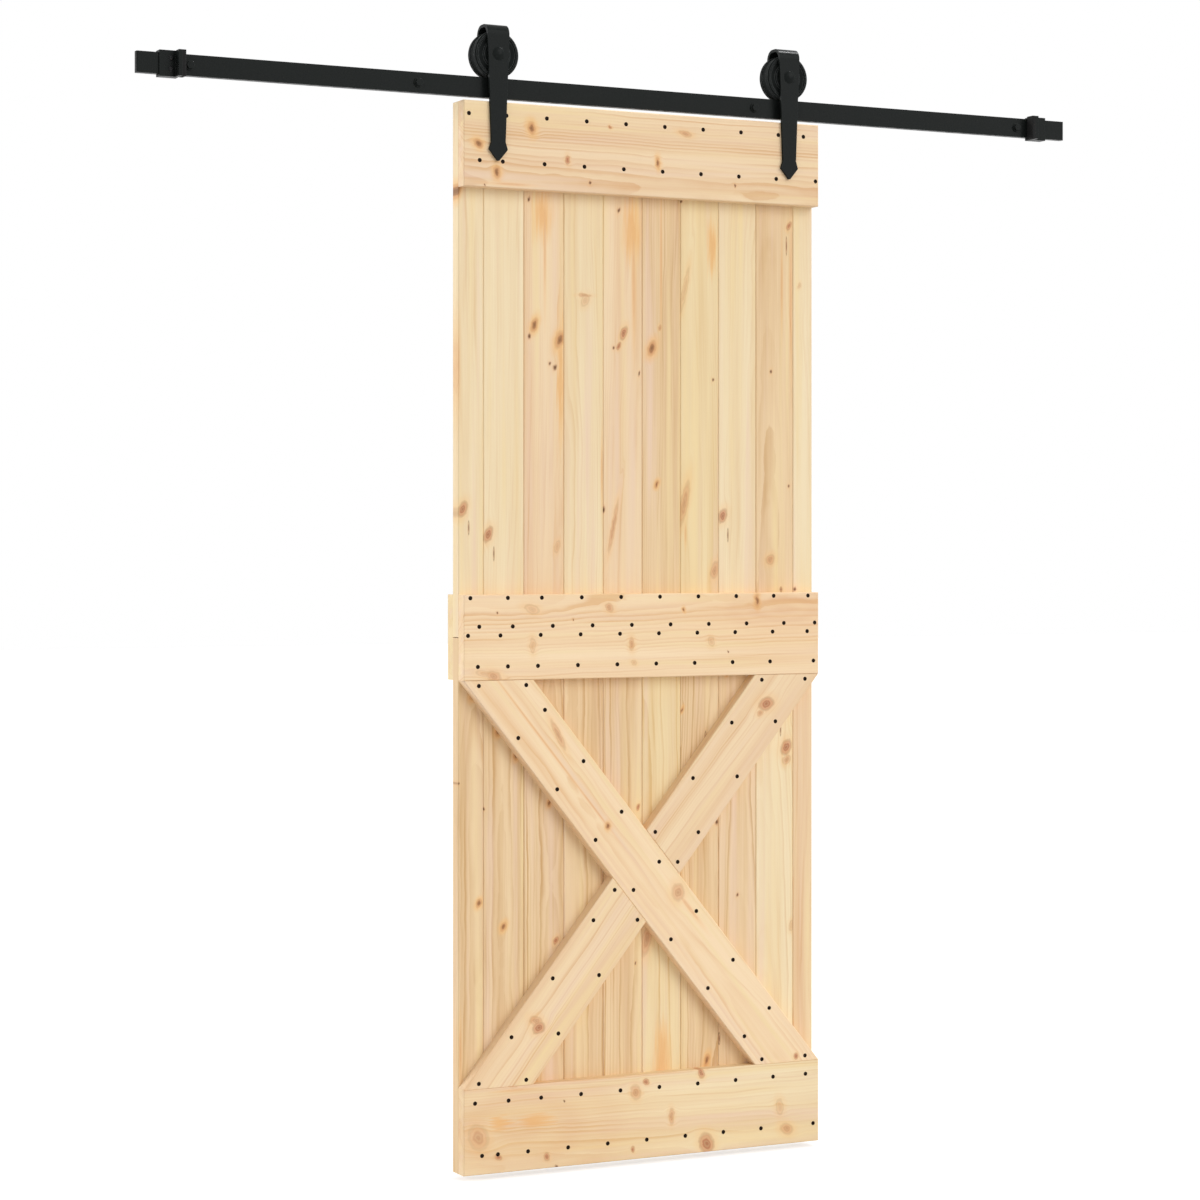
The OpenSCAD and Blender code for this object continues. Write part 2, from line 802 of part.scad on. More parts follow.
// Rubber block bonded to the flange's inner face, in front of the bar
module bumper() {
    height = track_h + 2 * stop_lip;
    depth = track_front - stop_fit - stop_front;
    corner = 1.5;
    translate([stop_sleeve_l + stop_flange_t, stop_front, -height / 2])
        linear_extrude(height)
            polygon([[0, 0], [bumper_t - corner, 0], [bumper_t, corner], [bumper_t, depth - corner],
                     [bumper_t - corner, depth], [0, depth]]);
}

module left_bumper() {
    color(rubber) translate([left_stop_x, 0, 0]) bumper();
}

module right_bumper() {
    color(rubber) translate([right_stop_x, 0, 0]) mirror([1, 0, 0]) bumper();
}

// Button-head screws that press on the bar through the sleeve's front wall
module stop_screw() {
    socket = stop_screw_d * 0.6;
    r = (pow(stop_screw_head_d / 2, 2) + pow(stop_screw_head_h, 2)) / (2 * stop_screw_head_h);
    difference() {
        union() {
            intersection() {
                translate([0, r - stop_screw_head_h, 0]) rotate([90, 0, 0]) sphere(r = r);
                translate([0, -stop_screw_head_h - slack, 0])
                    rod(stop_screw_head_d + 2 * slack, stop_screw_head_h + slack);
            }
            rod(stop_screw_d, stop_wall);
        }
        translate([0, -stop_screw_head_h - slack, 0]) hex_rod(socket, stop_screw_head_h / 2 + slack);
    }
}

module stop_screws() {
    color(black_zinc)
        for (x = [left_stop_x + stop_screw_at, right_stop_x - stop_screw_at], side = [-1, 1])
            translate([x, track_front - stop_wall, side * stop_screw_pitch / 2]) stop_screw();
}

for (k = [0 : plank_last]) {
    upper_plank(k);
    lower_plank(k);
}
top_rail();
middle_rail();
bottom_rail();
back_batten();
brace_main();
brace_upper();
brace_lower();
top_rail_nails();
middle_rail_nails();
bottom_rail_nails();
brace_nails();
hanger(hanger_x[0]);  // left_hanger
hanger(hanger_x[1]);  // right_hanger
hanger_washers();
hanger_nuts();
axle_bolt(hanger_x[0]);  // left_axle_bolt
axle_bolt(hanger_x[1]);  // right_axle_bolt
axle_nuts();
axle_collars();
wheel(hanger_x[0]);  // left_wheel
wheel(hanger_x[1]);  // right_wheel
bearing(hanger_x[0]);  // left_bearing
bearing(hanger_x[1]);  // right_bearing
track_bar();
wall_spacers();
wall_bolts();
left_stop();
right_stop();
left_bumper();
right_bumper();
stop_screws();
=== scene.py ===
import math

import bpy
from mathutils import Matrix, Vector


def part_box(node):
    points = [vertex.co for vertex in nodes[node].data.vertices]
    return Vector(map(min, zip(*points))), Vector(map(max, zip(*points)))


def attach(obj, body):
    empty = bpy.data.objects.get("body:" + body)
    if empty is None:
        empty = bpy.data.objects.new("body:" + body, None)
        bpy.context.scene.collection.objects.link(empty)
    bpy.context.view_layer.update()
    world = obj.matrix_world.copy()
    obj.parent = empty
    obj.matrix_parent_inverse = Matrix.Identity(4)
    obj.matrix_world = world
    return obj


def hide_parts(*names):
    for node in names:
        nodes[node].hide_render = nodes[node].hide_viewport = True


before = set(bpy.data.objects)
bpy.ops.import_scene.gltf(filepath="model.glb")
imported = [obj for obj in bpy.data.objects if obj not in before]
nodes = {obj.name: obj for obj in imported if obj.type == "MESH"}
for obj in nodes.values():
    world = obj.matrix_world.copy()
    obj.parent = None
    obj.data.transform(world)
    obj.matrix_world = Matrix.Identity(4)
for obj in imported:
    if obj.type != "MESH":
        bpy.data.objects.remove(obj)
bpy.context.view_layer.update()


# Planks. Ten tongued and grooved pine boards stand side by side in each of two tiers.
# They are planed and left bare, so their grain, knots and resin streaks show, and they
# are nailed from the front through the rails and braces.

mm = 0.001
leaf_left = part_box("upper_plank_1")[0].x
leaf_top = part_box("upper_plank_1")[1].z
plank_count = sum(name.startswith("upper_plank_") for name in nodes)


def paint(red, green, blue):
    """A colour as it looks on a screen, each part from 0 to 255, in linear light."""
    shares = [value / 255 for value in (red, green, blue)]
    return tuple(s / 12.92 if s <= 0.04045 else ((s + 0.055) / 1.055) ** 2.4 for s in shares) + (1.0,)


def feed(tree, socket, value):
    """A socket takes another node's output, or a plain value."""
    if isinstance(value, bpy.types.NodeSocket):
        tree.links.new(value, socket)
    else:
        socket.default_value = value


def put(tree, kind, inputs, **settings):
    """Adds a node, says what it does, and feeds its inputs by name or number."""
    node = tree.nodes.new(kind)
    for name, value in settings.items():
        setattr(node, name, value)
    for name, value in inputs.items():
        feed(tree, node.inputs[name], value)
    return node


def calc(tree, operation, *values):
    """One number worked out from others."""
    return put(tree, "ShaderNodeMath", dict(enumerate(values)), operation=operation).outputs[0]


def calc_vector(tree, operation, *values):
    """A vector worked out from others, or a vector's length."""
    node = put(tree, "ShaderNodeVectorMath", dict(enumerate(values)), operation=operation)
    return node.outputs["Value" if operation == "LENGTH" else "Vector"]


def fade(tree, value, start, end):
    """Goes smoothly from 0 at start to 1 at end, whichever of the two is larger."""
    inputs = {"Value": value, "From Min": start, "From Max": end}
    return put(tree, "ShaderNodeMapRange", inputs, interpolation_type="SMOOTHSTEP").outputs[0]


def speckle(tree, place, lumps, seed, detail):
    """Soft noise around 0, with so many lumps per metre along each axis."""
    spread = calc_vector(tree, "MULTIPLY", place, lumps)
    inputs = {"Vector": spread, "W": seed, "Scale": 1.0, "Detail": detail}
    noise = put(tree, "ShaderNodeTexNoise", inputs, noise_dimensions="4D")
    return calc(tree, "SUBTRACT", noise.outputs[0], 0.5)


def mix_colour(tree, share, first, second):
    """The first colour with a share, from 0 to 1, of the second one in it."""
    return put(tree, "ShaderNodeMix", {0: share, 6: first, 7: second}, data_type="RGBA").outputs[2]


def open_group(name, inputs, outputs):
    """An empty node group with its sockets, given as pairs of name and kind."""
    tree = bpy.data.node_groups.new(name, "ShaderNodeTree")
    for label, kind in inputs:
        tree.interface.new_socket(label, in_out="INPUT", socket_type="NodeSocket" + kind)
    for label, kind in outputs:
        tree.interface.new_socket(label, in_out="OUTPUT", socket_type="NodeSocket" + kind)
    return tree, tree.nodes.new("NodeGroupInput").outputs, tree.nodes.new("NodeGroupOutput").inputs


# A knot is a leaning ellipse in the board's face that runs through its thickness: a ringed
# body with a dark heart and a dark rim, an amber halo, and grain that bows out round it. The
# knots of a board are chained, and each adds to the masks that the one before it made. Reach
# counts outwards from the knot's middle, to edge_reach where its half size ends.
edge_reach = 0.8
ring_waves = 18.0
ring_depth = 0.22
bow_shape = (0.55, 0.0, 0.3)
knot_looks = ("Halo", "Body", "Heart", "Rim", "Push", "Lean")
masks = ("Shift", "Tint", "Core", "Dark")
knot_inputs = [("Board", "Vector"), ("Place", "Vector"), ("Half size", "Vector")]
knot_inputs += [(name, "Float") for name in knot_looks + masks]
knot_group, given, made = open_group("Knot", knot_inputs, [(mask, "Float") for mask in masks])
offset = calc_vector(knot_group, "SUBTRACT", given["Board"], given["Place"])
across, through, along = put(knot_group, "ShaderNodeSeparateXYZ", {0: offset}).outputs
leaned = calc(knot_group, "SUBTRACT", across, calc(knot_group, "MULTIPLY", along, given["Lean"]))
offset = put(knot_group, "ShaderNodeCombineXYZ", {0: leaned, 1: through, 2: along}).outputs[0]
scaled = calc_vector(knot_group, "DIVIDE", offset, given["Half size"])
reach = calc(knot_group, "MULTIPLY", calc_vector(knot_group, "LENGTH", scaled), edge_reach)
halo = fade(knot_group, reach, start=2.6, end=0.3)
body = fade(knot_group, reach, start=1.3, end=0.35)
ripple = calc(knot_group, "SINE", calc(knot_group, "MULTIPLY", reach, ring_waves))
rings = calc(knot_group, "MULTIPLY_ADD", ripple, ring_depth, 1.0 - ring_depth)
body = calc(knot_group, "MULTIPLY", body, rings)
heart = calc(knot_group, "MULTIPLY", fade(knot_group, reach, start=0.9, end=0.1), given["Heart"])
rim_inside = fade(knot_group, reach, start=0.6, end=0.95)
rim_outside = fade(knot_group, reach, start=1.2, end=0.95)
rim = calc(knot_group, "MULTIPLY", rim_inside, rim_outside)
dark = calc(knot_group, "MAXIMUM", heart, calc(knot_group, "MULTIPLY", rim, given["Rim"]))
for mask, shown in (("Tint", calc(knot_group, "MULTIPLY", halo, given["Halo"])),
                    ("Core", calc(knot_group, "MULTIPLY", body, given["Body"])),
                    ("Dark", dark)):
    feed(knot_group, made[mask], calc(knot_group, "MAXIMUM", given[mask], shown))
bow = calc_vector(knot_group, "LENGTH", calc_vector(knot_group, "MULTIPLY", scaled, bow_shape))
bowed = calc(knot_group, "MULTIPLY", fade(knot_group, bow, start=1.3, end=0.1), given["Push"])
shift = calc(knot_group, "MULTIPLY", across, bowed)
feed(knot_group, made["Shift"], calc(knot_group, "SUBTRACT", given["Shift"], shift))

# The grain is a log's own: yearly rings round a heart that lies beside or behind the board,
# swaying and tapering along it. A year is pale early wood and a darker late line, which is
# strong in a few years, faint in most, and fades in and out along the board. Thin threads of
# darker wood follow the rings, and broad bands of yellower and rosier wood lie over them.
amber = paint(240, 186, 116)
knot_red = paint(200, 114, 80)
knot_brown = paint(100, 66, 36)
sap_yellow = paint(243, 218, 166)
rose_grey = paint(238, 208, 182)
log_taper = 0.012
waver_reach = 11 * mm
faintest_year = 0.1
faintest_patch = 0.2
plain_depth = 0.21
band_share = 0.85
late_relief = 0.35
pine_inputs = [("Board", "Vector"), ("Heart", "Vector"), ("Pale", "Color"), ("Deep", "Color")]
pine_inputs += [(name, "Float") for name in ("Seed", "Ring", "Sway", "Figure", "Tint", "Core", "Dark")]
pine_outputs = [("Colour", "Color"), ("Height", "Float")]
pine_group, given, made = open_group("Pine grain", pine_inputs, pine_outputs)
board = given["Board"]
seeds = [calc(pine_group, "ADD", given["Seed"], step) for step in (0.0, 3.0, 7.0, 11.0, 17.0)]
sway = speckle(pine_group, board, lumps=(5.0, 5.0, 1.3), seed=seeds[0], detail=1.5)
sway = calc(pine_group, "MULTIPLY", sway, given["Sway"])
waver = speckle(pine_group, board, lumps=(14.0, 14.0, 6.0), seed=seeds[1], detail=4.0)
sway = calc(pine_group, "MULTIPLY_ADD", waver, waver_reach, sway)
spoke = calc_vector(pine_group, "SUBTRACT", board, given["Heart"])
girth = calc_vector(pine_group, "LENGTH", calc_vector(pine_group, "MULTIPLY", spoke, (1.0, 1.0, 0.0)))
along = put(pine_group, "ShaderNodeSeparateXYZ", {0: board}).outputs["Z"]
girth = calc(pine_group, "ADD", calc(pine_group, "MULTIPLY_ADD", along, log_taper, girth), sway)
years = calc(pine_group, "DIVIDE", girth, given["Ring"])
season = calc(pine_group, "FRACT", years)
rise = fade(pine_group, season, start=0.2, end=0.9)
late = calc(pine_group, "MULTIPLY", rise, fade(pine_group, season, start=1.0, end=0.92))
year = calc(pine_group, "ADD", calc(pine_group, "FLOOR", years), given["Seed"])
growth = put(pine_group, "ShaderNodeTexWhiteNoise", {"W": year}, noise_dimensions="1D").outputs[0]
growth = calc(pine_group, "POWER", growth, 2.0)
growth = calc(pine_group, "MULTIPLY_ADD", growth, 1.0 - faintest_year, faintest_year)
patch = speckle(pine_group, board, lumps=(12.0, 12.0, 2.2), seed=seeds[2], detail=2.0)
patch = fade(pine_group, patch, start=-0.2, end=0.2)
patch = calc(pine_group, "MULTIPLY_ADD", patch, 1.0 - faintest_patch, faintest_patch)
growth = calc(pine_group, "MULTIPLY", growth, patch)
late = calc(pine_group, "MULTIPLY", late, growth)
ringwise = put(pine_group, "ShaderNodeCombineXYZ", {"X": girth, "Z": along}).outputs[0]
threads = speckle(pine_group, ringwise, lumps=(190.0, 1.0, 2.4), seed=seeds[1], detail=2.0)
threads = fade(pine_group, threads, start=0.05, end=0.3)
fibre = speckle(pine_group, board, lumps=(380.0, 380.0, 6.0), seed=seeds[0], detail=3.0)
bands = speckle(pine_group, board, lumps=(34.0, 34.0, 1.2), seed=seeds[3], detail=2.0)
depth = calc(pine_group, "MULTIPLY_ADD", late, given["Figure"], plain_depth)
for streaks, weight in ((threads, 0.6), (fibre, 0.5), (bands, 1.6)):
    depth = calc(pine_group, "MULTIPLY_ADD", streaks, weight, depth)
depth = put(pine_group, "ShaderNodeClamp", {"Value": depth}).outputs[0]
wood = mix_colour(pine_group, depth, given["Pale"], given["Deep"])
hue = speckle(pine_group, board, lumps=(48.0, 48.0, 1.5), seed=seeds[4], detail=2.0)
for band_colour, side in ((sap_yellow, 0.3), (rose_grey, -0.3)):
    share = calc(pine_group, "MULTIPLY", fade(pine_group, hue, start=0.0, end=side), band_share)
    wood = mix_colour(pine_group, share, wood, band_colour)
wood = mix_colour(pine_group, given["Tint"], wood, amber)
wood = mix_colour(pine_group, given["Core"], wood, knot_red)
feed(pine_group, made["Colour"], mix_colour(pine_group, given["Dark"], wood, knot_brown))
feed(pine_group, made["Height"], calc(pine_group, "MULTIPLY_ADD", late, late_relief, fibre))

# The looks of each kind of knot or mark, from its amber halo to how far it bows the grain and
# leans, and whether its edge is round, drawn out in flames along the grain, or straight
knot_kinds = {
    "red": (0.4, 0.8, 0.36, 0.2, 1.0, 0.25, "round"),
    "brown": (0.8, 0.55, 0.7, 0.1, 1.0, 0.25, "round"),
    "pin": (0.15, 0.4, 0.95, 0.0, 0.8, 0.15, "round"),
    "pink": (0.4, 0.45, 0.18, 0.12, 0.9, 0.2, "round"),
    "ghost": (0.3, 0.2, 0.1, 0.12, 0.8, 0.2, "round"),
    "resin": (0.75, 0.12, 0.0, 0.0, 0.3, 0.0, "flamed"),
    "streak": (0.4, 0.28, 0.0, 0.0, 0.0, 0.0, "straight"),
    "slit": (0.15, 0.5, 0.7, 0.5, 0.1, 0.0, "straight"),
    "blush": (0.12, 0.16, 0.0, 0.0, 0.0, 0.0, "straight"),
}

# Pale and deep colour of each sort of board
pine_tones = {
    "cream": (paint(245, 225, 187), paint(227, 192, 142)),
    "straw": (paint(242, 219, 174), paint(224, 188, 132)),
    "rosy": (paint(243, 216, 178), paint(224, 180, 134)),
    "tan": (paint(239, 210, 168), paint(207, 164, 112)),
    "peach": (paint(249, 222, 184), paint(232, 190, 142)),
}


def wander(tree, place, lumps, reach, seed):
    """Pushes a place about by soft noise, with so many lumps per metre and so far along each axis."""
    spread = calc_vector(tree, "MULTIPLY", place, lumps)
    inputs = {"Vector": spread, "W": seed, "Scale": 1.0}
    push = put(tree, "ShaderNodeTexNoise", inputs, noise_dimensions="4D").outputs["Color"]
    push = calc_vector(tree, "SUBTRACT", push, (0.5, 0.5, 0.5))
    return calc_vector(tree, "MULTIPLY_ADD", push, reach, place)


def dress(material, *names):
    """Gives CAD pieces a material in place of the plain one they came with."""
    for name in names:
        nodes[name].data.materials.clear()
        nodes[name].data.materials.append(material)


log_sway = 30 * mm
grain_relief = 0.6 * mm


def dress_board(name, grain, tone, heart, ring, figure, knots, seed):
    """Gives a board its own pine. grain is the direction of its length as (x, z), heart the
    log's axis across and behind the board, ring a year's width, and figure how dark the late
    wood is. A knot is (x, drop, across, along, kind) from the leaf's top left corner, all in mm."""
    low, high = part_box(name)
    centre = (low + high) / 2
    tilt = math.atan2(-grain[0], grain[1])
    turn = Matrix.Rotation(tilt, 3, "Y")
    material = bpy.data.materials.new(name + "_pine")
    material.use_nodes = True
    tree = material.node_tree
    shader = tree.nodes["Principled BSDF"]
    place = put(tree, "ShaderNodeTexCoord", {}).outputs["Object"]
    inputs = {"Vector": place, "Rotation": (0.0, tilt, 0.0), "Location": -(turn @ centre)}
    board = put(tree, "ShaderNodeMapping", inputs).outputs[0]
    edges = {
        "round": wander(tree, board, lumps=(110.0, 0.0, 70.0), reach=(6 * mm, 0.0, 10 * mm), seed=seed),
        "flamed": wander(tree, board, lumps=(230.0, 0.0, 14.0), reach=(26 * mm, 0.0, 100 * mm), seed=seed),
        "straight": board,
    }
    running = {mask: 0.0 for mask in masks}
    for x, drop, width, length, kind in knots:
        spot = turn @ (Vector((leaf_left + x * mm, centre.y, leaf_top - drop * mm)) - centre)
        *looks, edge = knot_kinds[kind]
        inputs = {
            "Board": edges[edge], "Place": spot, "Half size": (width * mm / 2, 1.0, length * mm / 2),
            **dict(zip(knot_looks, looks)), **running,
        }
        knot = put(tree, "ShaderNodeGroup", inputs, node_tree=knot_group)
        running = {mask: knot.outputs[mask] for mask in masks}
    bent = put(tree, "ShaderNodeCombineXYZ", {"X": running["Shift"]}).outputs[0]
    pale, deep = pine_tones[tone]
    inputs = {
        "Board": calc_vector(tree, "ADD", board, bent), "Seed": seed, "Pale": pale, "Deep": deep,
        "Heart": (heart[0] * mm, heart[1] * mm, 0.0), "Ring": ring * mm, "Sway": log_sway,
        "Figure": figure, "Tint": running["Tint"], "Core": running["Core"], "Dark": running["Dark"],
    }
    pine = put(tree, "ShaderNodeGroup", inputs, node_tree=pine_group)
    feed(tree, shader.inputs["Base Color"], pine.outputs["Colour"])
    inputs = {"Height": pine.outputs["Height"], "Strength": 0.3, "Distance": grain_relief}
    feed(tree, shader.inputs["Normal"], put(tree, "ShaderNodeBump", inputs).outputs[0])
    shader.inputs["Roughness"].default_value = 0.6
    shader.inputs["Specular IOR Level"].default_value = 0.25
    dress(material, name)


upper_knots = [
    (0, 175, 8, 34, "brown"), (1, 520, 3, 110, "streak"),
    (152, 183, 7, 13, "pin"), (181, 212, 20, 50, "resin"), (187, 272, 4, 140, "streak"),
    (164, 432, 12, 22, "brown"), (153, 455, 8, 13, "pin"), (220, 460, 16, 28, "brown"),
    (222, 530, 8, 140, "resin"), (198, 508, 6, 10, "pin"), (209, 516, 9, 13, "pin"),
    (276, 380, 14, 18, "ghost"), (275, 370, 22, 6, "pink"),
    (351, 196, 8, 13, "pin"), (382, 236, 20, 62, "resin"),
    (385, 330, 6, 150, "streak"), (362, 443, 12, 22, "red"), (351, 469, 8, 12, "red"),
    (340, 472, 6, 8, "pin"), (397, 523, 5, 12, "pin"), (426, 471, 15, 25, "brown"),
    (444, 429, 5, 10, "pink"), (447, 285, 3, 170, "streak"), (493, 171, 7, 9, "pin"),
    (501, 350, 9, 70, "ghost"), (565, 258, 12, 50, "resin"), (566, 531, 6, 9, "pin"),
    (745, 208, 9, 15, "red"), (739, 250, 3, 30, "slit"), (749, 365, 4, 190, "streak"),
    (728, 330, 3, 100, "streak"), (702, 511, 6, 10, "pin"), (769, 331, 6, 10, "ghost"),
    (9, 799, 15, 25, "red"), (22, 835, 3, 22, "slit"), (64, 848, 15, 25, "red"),
    (76, 886, 3, 22, "slit"), (589, 809, 15, 25, "red"), (601, 848, 3, 22, "slit"),
    (214, 872, 10, 18, "ghost"), (313, 720, 3, 80, "streak"), (317, 799, 7, 16, "pin"),
    (339, 832, 8, 80, "pink"), (437, 745, 8, 12, "brown"), (500, 784, 14, 70, "pink"),
    (503, 846, 3, 30, "streak"), (570, 920, 14, 28, "pink"), (700, 898, 16, 16, "pink"),
    (745, 746, 6, 8, "pin"), (726, 960, 5, 9, "slit"), (758, 959, 8, 10, "pin"),
]
lower_knots = [
    (31, 1165, 10, 14, "brown"), (85, 1236, 10, 14, "brown"), (125, 1285, 10, 14, "brown"),
    (197, 1381, 8, 12, "brown"), (395, 1396, 6, 10, "red"), (738, 1286, 19, 26, "red"),
    (739, 1312, 14, 16, "pink"),
    (725, 1250, 3, 20, "slit"), (575, 1435, 8, 14, "pin"), (549, 1263, 4, 24, "slit"),
    (495, 1203, 5, 10, "brown"), (600, 1131, 6, 10, "brown"), (55, 1387, 4, 6, "pin"),
    (1, 1336, 4, 8, "pin"), (44, 1572, 10, 14, "brown"), (97, 1621, 10, 14, "brown"),
    (211, 1655, 9, 12, "red"), (414, 1665, 17, 52, "pink"), (389, 1711, 4, 8, "pin"),
    (450, 1897, 19, 60, "resin"), (623, 1586, 7, 10, "pin"), (752, 1655, 10, 18, "ghost"),
    (581, 1877, 4, 20, "slit"), (552, 1919, 10, 20, "brown"), (4, 1857, 4, 70, "streak"),
]

# Each plank's sort, the log's heart across and behind it, its ring width and its figure
upper_planks = [
    ("cream", (-60, 70), 4.2, 0.4), ("cream", (75, 60), 5.0, 0.4), ("rosy", (48, 48), 3.8, 0.6),
    ("cream", (-55, 42), 4.4, 0.6), ("rosy", (46, 55), 4.0, 0.6), ("tan", (70, 45), 4.6, 0.7),
    ("straw", (-58, 52), 4.4, 0.5), ("cream", (60, 70), 4.0, 0.5), ("tan", (-18, 60), 4.2, 0.8),
    ("cream", (-50, 60), 4.5, 0.5),
]
lower_planks = [
    ("tan", (8, 40), 4.2, 1.1), ("tan", (-6, 36), 4.2, 1.2), ("tan", (14, 45), 4.0, 1.1),
    ("tan", (-30, 50), 4.8, 1.4), ("tan", (45, 60), 4.2, 1.6), ("straw", (-45, 60), 4.6, 1.4),
    ("tan", (40, 55), 4.0, 1.1), ("tan", (6, 40), 4.2, 1.0), ("cream", (-40, 70), 4.6, 0.8),
    ("rosy", (32, 50), 4.0, 0.8),
]
upright = (0.0, 1.0)
tiers = {"upper": (upper_planks, upper_knots, 0.0), "lower": (lower_planks, lower_knots, 40.0)}
for tier, (boards, knots, first_seed) in tiers.items():
    for number, (tone, heart, ring, figure) in enumerate(boards, start=1):
        plank = f"{tier}_plank_{number}"
        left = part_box(plank)[0].x
        right = math.inf
        if number < plank_count:
            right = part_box(f"{tier}_plank_{number + 1}")[0].x
        own = [knot for knot in knots if left <= leaf_left + knot[0] * mm < right]
        dress_board(plank, upright, tone, heart, ring, figure, own, first_seed + number)


# Rails and batten. Three wide pine boards lie across the front of the planks, and a batten
# lies behind the middle one. They are planed, eased along the front edges, and nailed to the
# planks between them.

level = (1.0, 0.0)
top_rail_knots = [
    (146, 47, 20, 14, "brown"), (31, 84, 14, 16, "brown"), (71, 138, 20, 12, "brown"),
    (100, 160, 4, 60, "streak"), (225, 105, 14, 8, "red"), (274, 148, 9, 5, "pin"),
    (318, 34, 6, 5, "red"), (45, 164, 5, 4, "pin"), (603, 136, 8, 5, "pin"),
    (488, 37, 9, 22, "pink"), (426, 99, 18, 8, "brown"),
]
middle_rail_knots = [
    (655, 982, 22, 10, "brown"), (317, 993, 14, 14, "pink"), (146, 995, 14, 24, "ghost"),
    (237, 1017, 6, 4, "pin"), (72, 1002, 6, 4, "pin"), (485, 999, 8, 6, "brown"),
    (372, 1104, 8, 10, "ghost"), (148, 1067, 24, 10, "ghost"), (367, 1067, 20, 10, "pink"),
    (548, 1064, 16, 12, "ghost"), (586, 1086, 5, 4, "pin"), (64, 1126, 16, 26, "pink"),
    (45, 1121, 10, 30, "ghost"),
    (720, 1000, 80, 260, "blush"),
]
bottom_rail_knots = [
    (525, 1938, 18, 12, "red"), (399, 1947, 10, 10, "red"), (376, 1966, 24, 18, "pink"),
    (457, 2021, 26, 10, "pink"), (708, 2023, 26, 14, "ghost"), (217, 1971, 7, 5, "pin"),
    (724, 2069, 18, 24, "pink"), (537, 2083, 34, 26, "red"), (31, 2027, 40, 34, "pink"),
    (73, 2069, 10, 12, "red"), (179, 2077, 14, 12, "red"), (200, 2100, 12, 9, "pin"),
    (370, 2080, 10, 7, "red"), (110, 1940, 4, 60, "streak"), (120, 2020, 240, 420, "blush"),
    (78, 2003, 16, 24, "resin"), (158, 2004, 14, 40, "resin"), (100, 1931, 6, 20, "ghost"),
]
batten_knots = middle_rail_knots[:6]
dress_board(
    "top_rail", level, "rosy", heart=(70, 60), ring=5.0, figure=1.3,
    knots=top_rail_knots, seed=71.0)
dress_board(
    "middle_rail", level, "peach", heart=(-75, 55), ring=5.2, figure=1.2,
    knots=middle_rail_knots, seed=72.0)
dress_board(
    "bottom_rail", level, "cream", heart=(80, 65), ring=5.0, figure=1.3,
    knots=bottom_rail_knots, seed=73.0)
dress_board(
    "back_batten", level, "straw", heart=(-65, -50), ring=4.8, figure=0.6,
    knots=batten_knots, seed=74.0)


# Braces. One unbroken pine board falls from the middle rail's left end to the bottom rail's
# right end, and two halves butt against it to complete the cross. All are nailed to the planks.

level_cut = 150 * mm
brace_low, brace_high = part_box("brace_main")
run = brace_high.x - brace_low.x - level_cut
fall = brace_high.z - brace_low.z
falling = (-run, fall)
rising = (run, fall)
main_knots = [
    (314, 1430, 9, 12, "brown"), (472, 1570, 24, 26, "pink"), (497, 1602, 6, 60, "streak"),
    (204, 1245, 10, 50, "pink"), (746, 1921, 8, 10, "red"), (167, 1250, 3, 264, "streak"),
    (282, 1391, 3, 100, "streak"),
]
upper_brace_knots = [(676, 1194, 22, 26, "red"), (662, 1212, 10, 12, "pink")]
lower_brace_knots = [(161, 1822, 18, 20, "red"), (155, 1808, 22, 16, "pink")]
dress_board(
    "brace_main", falling, "peach", heart=(-8, 50), ring=5.0, figure=0.9,
    knots=main_knots, seed=81.0)
dress_board(
    "brace_upper", rising, "rosy", heart=(50, 60), ring=4.8, figure=0.9,
    knots=upper_brace_knots, seed=82.0)
dress_board(
    "brace_lower", rising, "rosy", heart=(-50, 60), ring=4.8, figure=0.9,
    knots=lower_brace_knots, seed=83.0)


# Nails. Dark oxidised steel wire nails with flat heads, driven just below the face of the
# rails and braces. Their heads are blotched brown where the oxide has worn.


def surface(name, base, blotch, edge_wear_and_glint, roughness, gloss, metallic, lumps, bump, ease=0.9):
    """Two close colours in blotches, about as many per metre as lumps says, over a fine bumpy grain, and
    lightened to a third colour along the edges, as far from them as ease says in mm. The lighter edges are
    partly worn coat and partly a painted highlight where a rounded edge would catch the lamps."""
    blotch_edge_share = 0.08
    blotch_roughness = 0.12
    rub_polish = 0.1
    grain_size = 0.3 * mm
    material = bpy.data.materials.new(name)
    material.use_nodes = True
    tree = material.node_tree
    shader = tree.nodes["Principled BSDF"]
    place = put(tree, "ShaderNodeTexCoord", {}).outputs["Object"]
    patches = put(tree, "ShaderNodeTexNoise", {"Vector": place, "Scale": lumps, "Detail": 3.0}).outputs[0]
    share = fade(tree, patches, start=0.35, end=0.7)
    eased = put(tree, "ShaderNodeBevel", {"Radius": ease * mm}, samples=6).outputs[0]
    flat = tree.nodes.new("ShaderNodeNewGeometry").outputs["Normal"]
    bend = calc_vector(tree, "LENGTH", calc_vector(tree, "SUBTRACT", eased, flat))
    # The edges are painted lighter here: partly wear, partly a painted highlight along them.
    edge_wear_and_glint_share = fade(tree, calc(tree, "MULTIPLY_ADD", share, blotch_edge_share, bend), start=0.1, end=0.45)
    colour = mix_colour(tree, edge_wear_and_glint_share, mix_colour(tree, share, base, blotch), edge_wear_and_glint)
    feed(tree, shader.inputs["Base Color"], colour)
    rough = calc(tree, "MULTIPLY_ADD", share, blotch_roughness, roughness)
    feed(tree, shader.inputs["Roughness"], calc(tree, "MULTIPLY_ADD", edge_wear_and_glint_share, -rub_polish, rough))
    peel = put(tree, "ShaderNodeTexNoise", {"Vector": place, "Scale": 900.0, "Detail": 2.0}).outputs[0]
    inputs = {"Height": peel, "Strength": bump, "Distance": grain_size, "Normal": eased}
    feed(tree, shader.inputs["Normal"], put(tree, "ShaderNodeBump", inputs).outputs[0])
    shader.inputs["Metallic"].default_value = metallic
    shader.inputs["Specular IOR Level"].default_value = gloss
    return material


